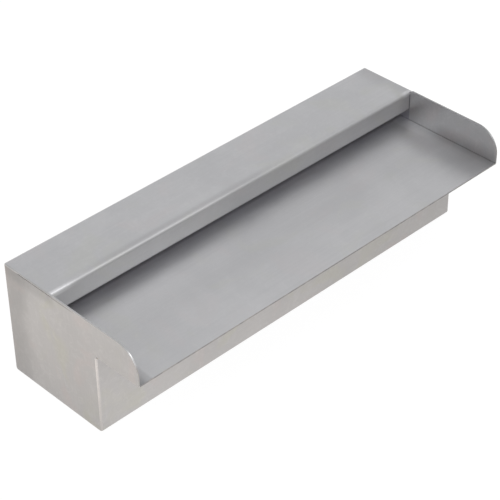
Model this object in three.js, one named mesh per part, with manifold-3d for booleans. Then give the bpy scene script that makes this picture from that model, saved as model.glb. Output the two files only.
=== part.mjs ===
// Stainless-steel waterfall spout for a pond or pool, welded from laser-cut and folded sheet.
//
// Water enters a long flat box through the threaded nipple in its rear wall, rises behind the
// spill plate through a perforated diffuser, turns forward over the plate under the top cover,
// leaves through the slot under the cover's flange and falls off the lip as one even sheet.
//
// Millimetres. +Z is up, -Y is the way the water falls, and X runs along the spout. The origin is
// on the underside of the floor, at the middle of the spout's length and of the box's depth.

import * as THREE from "three";
import { mergeVertices } from "three/addons/utils/BufferGeometryUtils.js";
import Module from "manifold-3d";

// ---- Driving dimensions ----

const LENGTH = 450; // over the outer faces of the end plates
const HEIGHT = 118;
const BOX_DEPTH = 117; // from the rear wall to the front wall
const LIP_REACH = 53; // how far the lip stands out past the front wall
const SHEET = 1.5; // thickness of every sheet
const BEND_INNER = 1.5; // inside radius of a fold

const PLATE_TOP = 85; // height of the face that the water runs over
const RISER_GAP = 25; // between the spill plate's fold and the rear wall
const PLATE_FOLD = 20; // height of the fold along the spill plate's rear edge
const WING_RADIUS = 24; // round top corner of each wing

const COVER_DEPTH = 61.5; // from the rear wall to the face of the flange
const FLANGE_DROP = 20.7; // from the cover's top to the flange's lower edge
const FLANGE_CLEARANCE = 0.8; // between each end of the flange and its wing

const GROUND_CORNER = 17.5; // length of the top corner weld that is ground flush
const SEAM_GAP = 0.3; // open line under the rest of the top corner weld
const SEAM_PAST_FLANGE = 2; // how far the top corner weld runs on past the flange
const FILLET_LEG = 3;
const FILLET_DIP = 0.35; // how hollow a fillet's face is, as a share of its leg
const TACK_LEG = 2;
const TACK_LENGTH = 14;
const TACK_SPREAD = 150; // from the middle of the spout to a tack
const FIT_GAP = 0.3; // between pieces that are joined only by a weld

const DIFFUSER_TOP = 76;
const DIFFUSER_FLANGE = 9;
const DIFFUSER_HOLE = 5; // radius
const DIFFUSER_HOLES = 27;
const DIFFUSER_PITCH = 16;

const INLET_HEIGHT = 38; // of the nipple's axis
const INLET_BORE = 20.5; // radius
const THREAD_CREST = 23.9; // G 1 1/2 outside thread: 47.8 mm across its crests
const THREAD_ROOT = 22.4;
const THREAD_PITCH = 2.309;
const THREAD_TURNS = 9;
const NIPPLE_REACH = 30; // past the rear wall
const NIPPLE_INSIDE = 4.5; // past the rear wall's outer face, into the box
const NIPPLE_CHAMFER = 1;

// ---- Places that follow from them ----

const END = LENGTH / 2;
const END_INSIDE = END - SHEET;
const REAR = BOX_DEPTH / 2;
const REAR_INSIDE = REAR - SHEET;
const FRONT = -BOX_DEPTH / 2;
const FRONT_INSIDE = FRONT + SHEET;
const LIP = FRONT - LIP_REACH;
const BEND_OUTER = BEND_INNER + SHEET;
const PLATE_UNDERSIDE = PLATE_TOP - SHEET;
const PLATE_REAR = REAR_INSIDE - RISER_GAP;
const COVER_UNDERSIDE = HEIGHT - SHEET;
const FLANGE_FACE = REAR - COVER_DEPTH;
const FLANGE_BOTTOM = HEIGHT - FLANGE_DROP;
const SEAM_FRONT = FLANGE_FACE - SEAM_PAST_FLANGE;
const HOLE_RADIUS = THREAD_CREST + FIT_GAP;
const THROUGH = 4 * SHEET; // length of a cutter that passes through one sheet
const CLEAR = 2 * SHEET; // how far a cutter reaches past what it cuts

const QUARTER = Math.PI / 2;
const BEND_SEGMENTS = 5;
const BEAD_SEGMENTS = 5;
const WING_SEGMENTS = 18;
const ROUND_SEGMENTS = 48;
const HOLE_SEGMENTS = 12;

const AXIS_X = new THREE.Vector3(1, 0, 0);
const AXIS_Y = new THREE.Vector3(0, 1, 0);
const AXIS_Z = new THREE.Vector3(0, 0, 1);

const at = (x, y, z) => new THREE.Vector3(x, y, z);
const opposite = (axis) => axis.clone().negate();

// ---- Solids that can be joined and cut ----

const wasm = await Module();
wasm.setup();

function toSolid(geometry) {
  const bare = geometry.clone();
  bare.deleteAttribute("normal");
  bare.deleteAttribute("uv");
  const merged = mergeVertices(bare, 1e-4);
  const mesh = new wasm.Mesh({
    numProp: 3,
    vertProperties: merged.attributes.position.array,
    triVerts: new Uint32Array(merged.index.array),
  });
  return new wasm.Manifold(mesh);
}

function toGeometry(solid) {
  const mesh = solid.getMesh();
  const indexed = new THREE.BufferGeometry();
  indexed.setAttribute("position", new THREE.BufferAttribute(mesh.vertProperties, 3));
  indexed.setIndex(new THREE.BufferAttribute(mesh.triVerts, 1));
  const flat = indexed.toNonIndexed();
  flat.computeVertexNormals();
  return flat;
}

// A box between two opposite corners.
function boxBetween(low, high) {
  const size = high.clone().sub(low);
  const middle = low.clone().add(high).multiplyScalar(0.5);
  return toSolid(new THREE.BoxGeometry(...size).translate(...middle));
}

// ---- Sheet metal ----

// Points along a round stretch of an outline, both ends included.
function arc(centreY, centreZ, radius, start, sweep, segments) {
  const points = [];
  for (let step = 0; step <= segments; step++) {
    const angle = start + (sweep * step) / segments;
    const y = centreY + radius * Math.cos(angle);
    const z = centreZ + radius * Math.sin(angle);
    points.push(new THREE.Vector2(y, z));
  }
  return points;
}

// The path moved to its left by inset, with a round fold at each of its corners.
function foldedLine(path, inset) {
  const corner = (i) => new THREE.Vector2(...path[i]);
  const heading = (i) => corner(i + 1).sub(corner(i)).normalize();
  const last = path.length - 1;
  return path.flatMap(([y, z], i) => {
    if (i === 0 || i === last) {
      const along = heading(i === 0 ? 0 : last - 1);
      return [new THREE.Vector2(y - along.y * inset, z + along.x * inset)];
    }
    const before = heading(i - 1);
    const after = heading(i);
    const centreY = y + (after.x - before.x) * BEND_OUTER;
    const centreZ = z + (after.y - before.y) * BEND_OUTER;
    const start = Math.atan2(-after.y, -after.x);
    return arc(centreY, centreZ, BEND_OUTER - inset, start, QUARTER, BEND_SEGMENTS);
  });
}

// A folded sheet that runs along X. The path is its outer line in Y and Z: it turns only left,
// a right angle at a time, and the sheet lies on its left.
function foldedSheet(path, halfLength) {
  const outline = new THREE.Shape([...foldedLine(path, 0), ...foldedLine(path, SHEET).reverse()]);
  return alongX(outline, -halfLength, halfLength);
}

// An outline drawn in Y and Z, made solid from x = from to x = to.
function alongX(outline, from, to) {
  const geometry = new THREE.ExtrudeGeometry(outline, { depth: to - from, bevelEnabled: false });
  const placed = new THREE.Matrix4().makeBasis(AXIS_Y, AXIS_Z, AXIS_X).setPosition(from, 0, 0);
  return geometry.applyMatrix4(placed);
}

// Front wall, floor and rear wall in one piece, with the hole for the nipple.
function bodyChannel() {
  const path = [
    [FRONT, PLATE_UNDERSIDE],
    [FRONT, 0],
    [REAR, 0],
    [REAR, COVER_UNDERSIDE],
  ];
  const hole = new THREE.CylinderGeometry(HOLE_RADIUS, HOLE_RADIUS, THROUGH, ROUND_SEGMENTS);
  hole.translate(0, REAR - SHEET / 2, INLET_HEIGHT);
  return toGeometry(toSolid(foldedSheet(path, END_INSIDE)).subtract(toSolid(hole)));
}

// The plate that the water runs over, from the lip to a fold that hangs into the box.
function spillPlate() {
  const path = [
    [PLATE_REAR, PLATE_TOP - PLATE_FOLD],
    [PLATE_REAR, PLATE_TOP],
    [LIP, PLATE_TOP],
  ];
  return foldedSheet(path, END_INSIDE);
}

// The lid of the box, folded down at the front into the flange over the slot. The flange is a
// little shorter than the lid, so that it drops in between the wings.
function topCover() {
  const path = [
    [REAR_INSIDE, HEIGHT],
    [FLANGE_FACE, HEIGHT],
    [FLANGE_FACE, FLANGE_BOTTOM],
  ];
  let cover = toSolid(foldedSheet(path, END_INSIDE));
  for (const side of [-1, 1]) {
    const near = side * (END_INSIDE - FLANGE_CLEARANCE);
    const far = side * END;
    cover = cover.subtract(
      boxBetween(
        at(Math.min(near, far), FLANGE_FACE - SHEET, FLANGE_BOTTOM - SHEET),
        at(Math.max(near, far), FLANGE_FACE + BEND_OUTER, HEIGHT - BEND_OUTER),
      ),
    );
  }
  return toGeometry(cover);
}

// One end of the box, with the wing that guards the end of the lip. Its edges stop at the inner
// faces of the channel and the cover, so each corner has a groove for a weld.
function endPlate(side) {
  const foldZ = SHEET + BEND_INNER;
  const seamZ = COVER_UNDERSIDE - SEAM_GAP;
  const outline = new THREE.Shape([
    ...arc(REAR_INSIDE - BEND_INNER, foldZ, BEND_INNER, -QUARTER, QUARTER, BEND_SEGMENTS),
    new THREE.Vector2(REAR_INSIDE, COVER_UNDERSIDE),
    new THREE.Vector2(REAR_INSIDE - GROUND_CORNER, COVER_UNDERSIDE),
    new THREE.Vector2(REAR_INSIDE - GROUND_CORNER, seamZ),
    new THREE.Vector2(SEAM_FRONT, seamZ),
    new THREE.Vector2(SEAM_FRONT, HEIGHT),
    ...arc(LIP + WING_RADIUS, HEIGHT - WING_RADIUS, WING_RADIUS, QUARTER, QUARTER, WING_SEGMENTS),
    new THREE.Vector2(LIP, PLATE_TOP),
    new THREE.Vector2(FRONT_INSIDE, PLATE_TOP),
    ...arc(FRONT_INSIDE + BEND_INNER, foldZ, BEND_INNER, 2 * QUARTER, QUARTER, BEND_SEGMENTS),
  ]);
  const [from, to] = side < 0 ? [-END, -END_INSIDE] : [END_INSIDE, END];
  return alongX(outline, from, to);
}

// The perforated angle across the riser, which evens out the flow along the spout.
function flowDiffuser() {
  const path = [
    [REAR_INSIDE, DIFFUSER_TOP - DIFFUSER_FLANGE],
    [REAR_INSIDE, DIFFUSER_TOP],
    [PLATE_REAR + FIT_GAP, DIFFUSER_TOP],
  ];
  let diffuser = toSolid(foldedSheet(path, END_INSIDE - FIT_GAP));
  const middleY = (PLATE_REAR + REAR_INSIDE - BEND_OUTER) / 2;
  for (let i = 0; i < DIFFUSER_HOLES; i++) {
    const x = (i - (DIFFUSER_HOLES - 1) / 2) * DIFFUSER_PITCH;
    const hole = new THREE.CylinderGeometry(DIFFUSER_HOLE, DIFFUSER_HOLE, THROUGH, HOLE_SEGMENTS);
    hole.rotateX(QUARTER).translate(x, middleY, DIFFUSER_TOP - SHEET / 2);
    diffuser = diffuser.subtract(toSolid(hole));
  }
  return toGeometry(diffuser);
}

// ---- Inlet ----

// A ring round the nipple's axis, from its closed outline of [radius, y] points.
function roundInlet(outline) {
  const points = outline.map(([radius, y]) => new THREE.Vector2(radius, y));
  const ring = new THREE.LatheGeometry([...points, points[0].clone()], ROUND_SEGMENTS);
  return ring.translate(0, 0, INLET_HEIGHT);
}

// The threaded nipple, with a plain collar where it passes through the wall.
function inletNipple() {
  const mouth = REAR + NIPPLE_REACH;
  const inside = REAR - NIPPLE_INSIDE;
  const threadStart = mouth - NIPPLE_CHAMFER - THREAD_TURNS * THREAD_PITCH;
  const outline = [
    [INLET_BORE, inside],
    [THREAD_CREST, inside],
  ];
  for (let turn = 0; turn < THREAD_TURNS; turn++) {
    const start = threadStart + turn * THREAD_PITCH;
    outline.push([THREAD_CREST, start], [THREAD_ROOT, start + THREAD_PITCH / 2]);
  }
  outline.push([THREAD_CREST, mouth - NIPPLE_CHAMFER]);
  outline.push([THREAD_CREST - NIPPLE_CHAMFER, mouth]);
  outline.push([INLET_BORE, mouth]);
  return roundInlet(outline);
}

// The fillet weld round the nipple, on the wall's outer or inner face.
function inletWeld(isOutside) {
  const low = [HOLE_RADIUS, isOutside ? REAR : REAR_INSIDE - FILLET_LEG];
  const high = [HOLE_RADIUS, isOutside ? REAR + FILLET_LEG : REAR_INSIDE];
  const toe = [HOLE_RADIUS + FILLET_LEG, isOutside ? REAR : REAR_INSIDE];
  return roundInlet([low, toe, high]);
}

// ---- Welds ----

// A section swept straight from one point to another. Its two legs run along the axes a and b.
function run(section, from, to, a, b) {
  const along = to.clone().sub(from);
  const depth = along.length();
  along.normalize();
  const [u, v] = a.clone().cross(b).dot(along) > 0 ? [a, b] : [b, a];
  const geometry = new THREE.ExtrudeGeometry(section, {
    depth,
    bevelEnabled: false,
    curveSegments: BEAD_SEGMENTS,
  });
  return geometry.applyMatrix4(new THREE.Matrix4().makeBasis(u, v, along).setPosition(from));
}

// The quarter-round bead that fills a corner groove and bulges towards a and b.
function cornerBead(from, to, a, b) {
  const face = arc(0, 0, SHEET, 0, QUARTER, BEAD_SEGMENTS);
  const section = new THREE.Shape([new THREE.Vector2(0, 0), ...face]);
  return run(section, from, to, a, b);
}

// The hollow-faced bead in an inside corner whose two walls run along a and b.
function fillet(from, to, a, b, leg) {
  const dip = leg * FILLET_DIP;
  const section = new THREE.Shape().moveTo(0, 0).lineTo(leg, 0).quadraticCurveTo(dip, dip, 0, leg);
  return run(section, from, to, a, b);
}

// The fillet between the front wall and the underside of the lip.
function lipFillet() {
  const ends = [at(-END_INSIDE, FRONT, PLATE_UNDERSIDE), at(END_INSIDE, FRONT, PLATE_UNDERSIDE)];
  return fillet(...ends, opposite(AXIS_Y), opposite(AXIS_Z), FILLET_LEG);
}

// The bead along an end of the floor. It turns up round the channel's two folds.
function baseWeld(side) {
  const x = side * END_INSIDE;
  const outward = side < 0 ? opposite(AXIS_X) : AXIS_X;
  const foldFront = FRONT + BEND_OUTER;
  const foldRear = REAR - BEND_OUTER;
  const ends = [at(x, foldFront, SHEET), at(x, foldRear, SHEET)];
  let bead = toSolid(cornerBead(...ends, outward, opposite(AXIS_Z)));
  const start = new THREE.Vector2(BEND_INNER, 0);
  const face = arc(BEND_INNER, 0, SHEET, 0, QUARTER, BEAD_SEGMENTS);
  const section = [start, ...face, start.clone()];
  for (const end of [-1, 1]) {
    const y = end < 0 ? foldFront : foldRear;
    const ring = new THREE.LatheGeometry(section, 4 * BEND_SEGMENTS);
    ring.rotateZ(side < 0 ? QUARTER : -QUARTER).translate(x, y, BEND_OUTER);
    const beyond = y + end * (BEND_OUTER + CLEAR);
    const quarter = boxBetween(
      at(x - CLEAR, Math.min(y, beyond), -CLEAR),
      at(x + CLEAR, Math.max(y, beyond), BEND_OUTER),
    );
    bead = bead.add(toSolid(ring).intersect(quarter));
  }
  return toGeometry(bead);
}

// The bead along the top rear edge, with the round corner that it ends in at each end.
function coverRearWeld() {
  const left = at(-END_INSIDE, REAR_INSIDE, COVER_UNDERSIDE);
  const right = at(END_INSIDE, REAR_INSIDE, COVER_UNDERSIDE);
  let bead = toSolid(cornerBead(left, right, AXIS_Y, AXIS_Z));
  for (const [corner, side] of [
    [left, -1],
    [right, 1],
  ]) {
    const ball = new THREE.SphereGeometry(SHEET, 4 * BEAD_SEGMENTS, 2 * BEAD_SEGMENTS);
    const far = corner.clone().add(at(side * CLEAR, CLEAR, CLEAR));
    const octant = boxBetween(corner.clone().min(far), corner.clone().max(far));
    bead = bead.add(toSolid(ball.translate(...corner)).intersect(octant));
  }
  return toGeometry(bead);
}

// The straight corner beads at one end, by name.
function endWelds(side) {
  const x = side * END_INSIDE;
  const outward = side < 0 ? opposite(AXIS_X) : AXIS_X;
  const forward = opposite(AXIS_Y);
  const down = opposite(AXIS_Z);
  const front = [at(x, FRONT_INSIDE, BEND_OUTER), at(x, FRONT_INSIDE, PLATE_TOP)];
  const rear = [at(x, REAR_INSIDE, BEND_OUTER), at(x, REAR_INSIDE, COVER_UNDERSIDE)];
  const top = [at(x, SEAM_FRONT, COVER_UNDERSIDE), at(x, REAR_INSIDE, COVER_UNDERSIDE)];
  const lip = [at(x, LIP, PLATE_TOP), at(x, FRONT, PLATE_TOP)];
  return {
    front: cornerBead(...front, outward, forward),
    rear: cornerBead(...rear, outward, AXIS_Y),
    top: cornerBead(...top, outward, AXIS_Z),
    lip: cornerBead(...lip, outward, down),
  };
}

// The two short welds that hold the diffuser on one side of the middle, by name.
function diffuserTacks(side) {
  const low = side * TACK_SPREAD - TACK_LENGTH / 2;
  const high = side * TACK_SPREAD + TACK_LENGTH / 2;
  const flangeFoot = DIFFUSER_TOP - DIFFUSER_FLANGE;
  const down = opposite(AXIS_Z);
  const forward = opposite(AXIS_Y);
  const plate = [at(low, PLATE_REAR, DIFFUSER_TOP), at(high, PLATE_REAR, DIFFUSER_TOP)];
  const wall = [at(low, REAR_INSIDE, flangeFoot), at(high, REAR_INSIDE, flangeFoot)];
  return {
    plate: fillet(...plate, AXIS_Y, AXIS_Z, TACK_LEG),
    wall: fillet(...wall, down, forward, TACK_LEG),
  };
}

// ---- Assembly ----

const FINISHES = {
  sheet: { color: 0xb2b2b4, roughness: 0.42, metalness: 0.9 },
  weld: { color: 0xaaa8a4, roughness: 0.5, metalness: 0.9 },
  turned: { color: 0xbcbcc0, roughness: 0.3, metalness: 0.95 },
};

const spout = new THREE.Group();

function addPiece(name, geometry, finish) {
  const mesh = new THREE.Mesh(geometry, new THREE.MeshStandardMaterial(FINISHES[finish]));
  mesh.name = name;
  spout.add(mesh);
}

addPiece("body_channel", bodyChannel(), "sheet");
addPiece("spill_plate", spillPlate(), "sheet");
addPiece("top_cover", topCover(), "sheet");
addPiece("flow_diffuser", flowDiffuser(), "sheet");
addPiece("inlet_nipple", inletNipple(), "turned");
addPiece("weld_inlet_outside", inletWeld(true), "weld");
addPiece("weld_inlet_inside", inletWeld(false), "weld");
addPiece("weld_cover_rear", coverRearWeld(), "weld");

addPiece("weld_under_lip", lipFillet(), "weld");

for (const [hand, side] of [
  ["left", -1],
  ["right", 1],
]) {
  addPiece(`${hand}_end_plate`, endPlate(side), "sheet");
  addPiece(`weld_${hand}_base`, baseWeld(side), "weld");
  for (const [place, bead] of Object.entries(endWelds(side))) {
    addPiece(`weld_${hand}_${place}`, bead, "weld");
  }
  for (const [place, tack] of Object.entries(diffuserTacks(side))) {
    addPiece(`tack_diffuser_${place}_${hand}`, tack, "weld");
  }
}

export default spout;
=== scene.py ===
"""Looks of the stainless-steel waterfall spout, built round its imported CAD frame.

Metres, in the frame of the part: +X along the spout, +Z up, and -Y the way the water falls.
Every sheet and bead is built again here with fine folds, dressed edges and weld ripples, in the
place of its CAD node, and all the finishes are procedural.
"""

import math

import bmesh
import bpy
from mathutils import Matrix, Vector, noise


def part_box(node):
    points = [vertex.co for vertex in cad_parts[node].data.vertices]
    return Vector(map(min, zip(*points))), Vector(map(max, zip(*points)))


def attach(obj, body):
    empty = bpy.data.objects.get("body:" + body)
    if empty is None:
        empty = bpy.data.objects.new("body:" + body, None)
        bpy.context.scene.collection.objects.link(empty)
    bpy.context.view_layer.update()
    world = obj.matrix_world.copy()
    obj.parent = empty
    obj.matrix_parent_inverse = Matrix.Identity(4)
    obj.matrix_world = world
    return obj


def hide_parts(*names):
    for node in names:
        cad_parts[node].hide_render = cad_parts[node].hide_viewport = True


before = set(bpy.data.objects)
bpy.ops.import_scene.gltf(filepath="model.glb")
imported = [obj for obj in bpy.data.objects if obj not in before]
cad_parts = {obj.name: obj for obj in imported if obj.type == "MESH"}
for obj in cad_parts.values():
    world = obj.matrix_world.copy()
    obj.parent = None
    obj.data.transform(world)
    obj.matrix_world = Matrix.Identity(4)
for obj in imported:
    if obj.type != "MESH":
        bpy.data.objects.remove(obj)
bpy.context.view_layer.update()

MM = 0.001
QUARTER = math.pi / 2
AXIS_X = Vector((1, 0, 0))
AXIS_Y = Vector((0, 1, 0))
AXIS_Z = Vector((0, 0, 1))

# ---- Places, from the frame ----

channel_low, channel_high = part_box("body_channel")
plate_low, plate_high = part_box("spill_plate")
cover_low, cover_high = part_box("top_cover")
end_low, end_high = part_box("right_end_plate")
diffuser_low, diffuser_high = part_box("flow_diffuser")
nipple_low, nipple_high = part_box("inlet_nipple")
top_bead_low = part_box("weld_right_top")[0]
tack_low, tack_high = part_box("tack_diffuser_plate_right")
fillet_low, fillet_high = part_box("weld_under_lip")
ring_low, ring_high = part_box("weld_inlet_outside")

END = end_high.x
END_INSIDE = end_low.x
SHEET = END - END_INSIDE
HEIGHT = cover_high.z
COVER_UNDERSIDE = channel_high.z
FRONT = channel_low.y
REAR = channel_high.y
FRONT_INSIDE = FRONT + SHEET
REAR_INSIDE = REAR - SHEET
LIP = plate_low.y
PLATE_TOP = plate_high.z
PLATE_UNDERSIDE = PLATE_TOP - SHEET
PLATE_REAR = plate_high.y
PLATE_FOLD_FOOT = plate_low.z
FLANGE_FACE = cover_low.y
FLANGE_BOTTOM = cover_low.z
SEAM_FRONT = top_bead_low.y
DIFFUSER_TOP = diffuser_high.z
DIFFUSER_FOOT = diffuser_low.z
DIFFUSER_FRONT = diffuser_low.y
DIFFUSER_END = diffuser_high.x
INLET_HEIGHT = (nipple_low.z + nipple_high.z) / 2
THREAD_CREST = (nipple_high.z - nipple_low.z) / 2
NIPPLE_INSIDE = nipple_low.y
NIPPLE_MOUTH = nipple_high.y
FILLET_LEG = fillet_high.z - fillet_low.z
TACK_LEG = tack_high.z - tack_low.z
HOLE_RADIUS = (ring_high.x - ring_low.x) / 2 - FILLET_LEG

# ---- Sizes that the frame's boxes don't show ----

BEND_INNER = 1.5 * MM
BEND_OUTER = BEND_INNER + SHEET
COVER_BEND = 4.2 * MM  # the cover's fold is a little softer than the others
WING_RADIUS = 24 * MM
FLANGE_CLEARANCE = 0.8 * MM
GROUND_CORNER = 17.5 * MM
SEAM_GAP = 0.3 * MM
DIFFUSER_HOLE = 5 * MM
DIFFUSER_HOLES = 27
DIFFUSER_PITCH = 16 * MM
INLET_BORE = 20.5 * MM
THREAD_ROOT = 22.4 * MM
THREAD_PITCH = 2.309 * MM
THREAD_LENGTH = 21 * MM
THREAD_FLAT = 0.12  # each crest and each root, as a share of half the pitch
NIPPLE_CHAMFER = 1 * MM
BORE_CHAMFER = 0.4 * MM

BEND_STEPS = 10
WING_STEPS = 40
BEAD_STEPS = 8
FILLET_STEPS = 9
HOLE_STEPS = 36
ROUND_STEPS = 96
THREAD_STEPS = 12  # rows of points in one pitch
PANEL_GRID = 12 * MM
PANEL_BOW = 0.12 * MM  # how far a flat panel may sink between its edges
EDGE_ROUND = 0.22 * MM
EDGE_STEPS = 2
SHARP_FROM = math.radians(50)
SMOOTH_BELOW = math.radians(32)

GROUND_PITCH = 3 * MM
GROUND_FLAT = 0.05  # how much a grinder has flattened the crown, as a share of the radius
SEAM_HOLLOW = 0.18 * MM
SEAM_STEPS = 2
RIPPLE_PITCH = 1.7 * MM
RIPPLE_STEPS = 6
RIPPLE_HEIGHT = 0.13 * MM


# ---- Camera, floor and light ----

CAMERA_AZIMUTH = math.radians(-43.959)
CAMERA_ELEVATION = math.radians(36.993)
CAMERA_ROLL = math.radians(-0.712)
CAMERA_AIM = Vector((-11.0, -19.8, 59.0)) * MM
CAMERA_DISTANCE = 1.5635
CAMERA_LENS = 124.03


def direction(azimuth, elevation):
    """The unit vector from the object towards a viewer at that azimuth and elevation."""
    flat = math.cos(elevation)
    return Vector((math.sin(azimuth) * flat, -math.cos(azimuth) * flat, math.sin(elevation)))


def add_camera():
    back = direction(CAMERA_AZIMUTH, CAMERA_ELEVATION)
    right = AXIS_Z.cross(back).normalized()
    up = back.cross(right)
    turned_right = right * math.cos(CAMERA_ROLL) + up * math.sin(CAMERA_ROLL)
    turned_up = up * math.cos(CAMERA_ROLL) - right * math.sin(CAMERA_ROLL)
    data = bpy.data.cameras.new("camera")
    data.lens = CAMERA_LENS
    data.sensor_width = 36
    camera = bpy.data.objects.new("camera", data)
    axes = Matrix((turned_right, turned_up, back)).transposed().to_4x4()
    camera.matrix_world = Matrix.Translation(CAMERA_AIM + back * CAMERA_DISTANCE) @ axes
    bpy.context.scene.collection.objects.link(camera)
    bpy.context.scene.camera = camera


# ---- Material nodes ----


def put(tree, kind, inputs=None, **settings):
    """Adds a shader node. inputs maps a socket to a value, or to the output that feeds it."""
    node = tree.nodes.new("ShaderNode" + kind)
    for name, value in settings.items():
        setattr(node, name, value)
    for socket, value in (inputs or {}).items():
        if isinstance(value, bpy.types.NodeSocket):
            tree.links.new(value, node.inputs[socket])
        else:
            node.inputs[socket].default_value = value
    return node


def stretched_noise(tree, coords, per_metre, detail=2.0, roughness=0.5, distortion=0.0):
    """Noise from 0 to 1 with its own number of waves per metre along each axis."""
    placed = put(tree, "Mapping", {"Vector": coords, "Scale": per_metre})
    inputs = {
        "Vector": placed.outputs["Vector"],
        "Scale": 1.0,
        "Detail": detail,
        "Roughness": roughness,
        "Distortion": distortion,
    }
    return put(tree, "TexNoise", inputs).outputs["Fac"]


def math_node(tree, operation, a, b=0.0, c=0.0):
    return put(tree, "Math", {0: a, 1: b, 2: c}, operation=operation).outputs["Value"]


def remap(tree, value, low, high, to_low=0.0, to_high=1.0):
    """A soft step: to_low up to low, and to_high from high on."""
    inputs = {
        "Value": value,
        "From Min": low,
        "From Max": high,
        "To Min": to_low,
        "To Max": to_high,
    }
    node = put(tree, "MapRange", inputs, interpolation_type="SMOOTHSTEP")
    return node.outputs["Result"]


def colour_mix(tree, factor, a, b, how="MIX"):
    node = put(tree, "Mix", {0: factor, 6: a, 7: b}, data_type="RGBA", blend_type=how)
    return node.outputs[2]


def shaded(tree, colour, shade):
    """The colour multiplied by the shade."""
    level = put(tree, "CombineXYZ", {0: shade, 1: shade, 2: shade}).outputs[0]
    return colour_mix(tree, 1.0, colour, level, "MULTIPLY")


def bump(tree, height, depth, below=None):
    """A bump as deep as depth in metres, on top of another one."""
    inputs = {"Height": height, "Distance": depth, "Strength": 1.0}
    if below is not None:
        inputs["Normal"] = below
    return put(tree, "Bump", inputs).outputs["Normal"]


def new_material(name):
    material = bpy.data.materials.new(name)
    material.use_nodes = True
    tree = material.node_tree
    tree.nodes.clear()
    output = put(tree, "OutputMaterial")
    shader = put(tree, "BsdfPrincipled", {"Metallic": 1.0})
    tree.links.new(shader.outputs["BSDF"], output.inputs["Surface"])
    coords = put(tree, "TexCoord").outputs["Object"]
    return material, tree, shader, coords


def grey(level):
    return (level, level, level, 1)


STEEL = (0.605, 0.605, 0.612, 1)
STEEL_SHADE = (0.560, 0.561, 0.570, 1)
STRAW_TINT = (0.585, 0.590, 0.530, 1)
ROSE_TINT = (0.617, 0.578, 0.578, 1)
# The mill finish's bluish tint stands in for the cool tint of the shade in the slot.
MILL_STEEL, MILL_SHADE = (0.74, 0.728, 0.80, 1), (0.68, 0.668, 0.745, 1)
TURNED_STEEL, TURNED_SHADE = (0.66, 0.66, 0.67, 1), (0.58, 0.58, 0.59, 1)
# The ground beads are paler than the sheet, partly as a painted highlight along them.
GROUND_STEEL, GROUND_SHADE = (0.82, 0.81, 0.815, 1), (0.72, 0.715, 0.72, 1)
CUT_STEEL, CUT_SHADE = (0.46, 0.45, 0.44, 1), (0.34, 0.34, 0.35, 1)
CREVICE_STEEL, CREVICE_SHADE = (0.52, 0.51, 0.51, 1), (0.40, 0.40, 0.41, 1)
WELD_GREY = (0.50, 0.49, 0.51, 1)
WELD_STRAW = (0.62, 0.57, 0.48, 1)
WELD_CRUST = (0.34, 0.34, 0.38, 1)

SHEET_ANISOTROPY = 0.80
SHEET_METALLIC = 0.85  # the rest scatters light evenly, as the haze of a rubbed surface does
MILL_METALLIC = 0.70
POLISHED_ROUGHNESS = 0.28
GRAIN_LONG = (1, 0.012, 0.02)  # nearly along X: a grain is never quite straight
GRAIN_UPRIGHT = (0.02, 0.03, 1)
FINE_GRAIN = (22, 1700)  # waves per metre, along the grain and across it
GRAIN_LINES = (7, 330)
WIPE_MARKS = (24, 60)
PAINTED_BEND_SHADE_AT = -70 * MM  # where along the cover the painted shade over its bend's highlight is deepest
LINE_DEPTH = 1.9 * MM  # how far below a wing's top the dark line beside its weld runs


def near(tree, distance, inner, outer):
    """1 up to the inner distance from something, falling to 0 at the outer one."""
    return remap(tree, distance, inner, outer, 1.0, 0.0)


def darker(tree, shade, share, mask, *masks):
    """The shade with a share taken away wherever all the masks are 1. A negative share brightens."""
    for other in masks:
        mask = math_node(tree, "MULTIPLY", mask, other)
    keep = math_node(tree, "MULTIPLY_ADD", mask, -share, 1.0)
    return math_node(tree, "MULTIPLY", shade, keep)


def end_gap(tree, x):
    """How far a point is from the inner face of the nearer end plate."""
    return math_node(tree, "SUBTRACT", END_INSIDE, math_node(tree, "ABSOLUTE", x))


def ragged(tree, distance, patches, reach):
    """A distance with an uneven border, up to half of reach either way."""
    offset = math_node(tree, "MULTIPLY_ADD", patches, reach, -reach / 2)
    return math_node(tree, "ADD", distance, offset)


# Each function below gives the shade of a finish at a place on the object, from wear and dressing
# and from painted light and shade. It multiplies the finish's colour, and patches is the noise that
# makes it uneven.


def cover_shade(tree, x, y, z, patches):
    """Dull beside the right-hand weld. Painted shade on the flange, deepest at its foot, and over
    the bend's highlight left of the middle.
    """
    gap = ragged(tree, math_node(tree, "SUBTRACT", END_INSIDE, x), patches, 24 * MM)
    shade = darker(tree, 1.0, 0.12, near(tree, gap, 1 * MM, 22 * MM))
    # Painted shade on the flange, a little less of it towards the right end.
    on_flange = near(tree, y, FLANGE_FACE + 0.1 * MM, FLANGE_FACE + 1.4 * MM)
    shade = darker(tree, shade, 0.24, on_flange)
    shade = darker(tree, shade, -0.07, on_flange, near(tree, gap, 40 * MM, 120 * MM))

    # Painted shade that dims the bend's highlight left of the middle.
    on_bend = near(tree, y, FLANGE_FACE + 4 * MM, FLANGE_FACE + 10 * MM)
    upper = remap(tree, z, HEIGHT - 4 * MM, HEIGHT - 2.4 * MM)
    from_painted_bend_shade = math_node(tree, "ABSOLUTE", math_node(tree, "SUBTRACT", x, PAINTED_BEND_SHADE_AT))
    painted_bend_shade = near(tree, from_painted_bend_shade, 70 * MM, 140 * MM)
    shade = darker(tree, shade, 0.14, on_bend, upper, painted_bend_shade)

    # Painted shade along the flange's foot.
    above_foot = math_node(tree, "SUBTRACT", z, FLANGE_BOTTOM)
    return darker(tree, shade, 0.30, on_flange, near(tree, above_foot, 0.3 * MM, 1.6 * MM))


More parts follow.
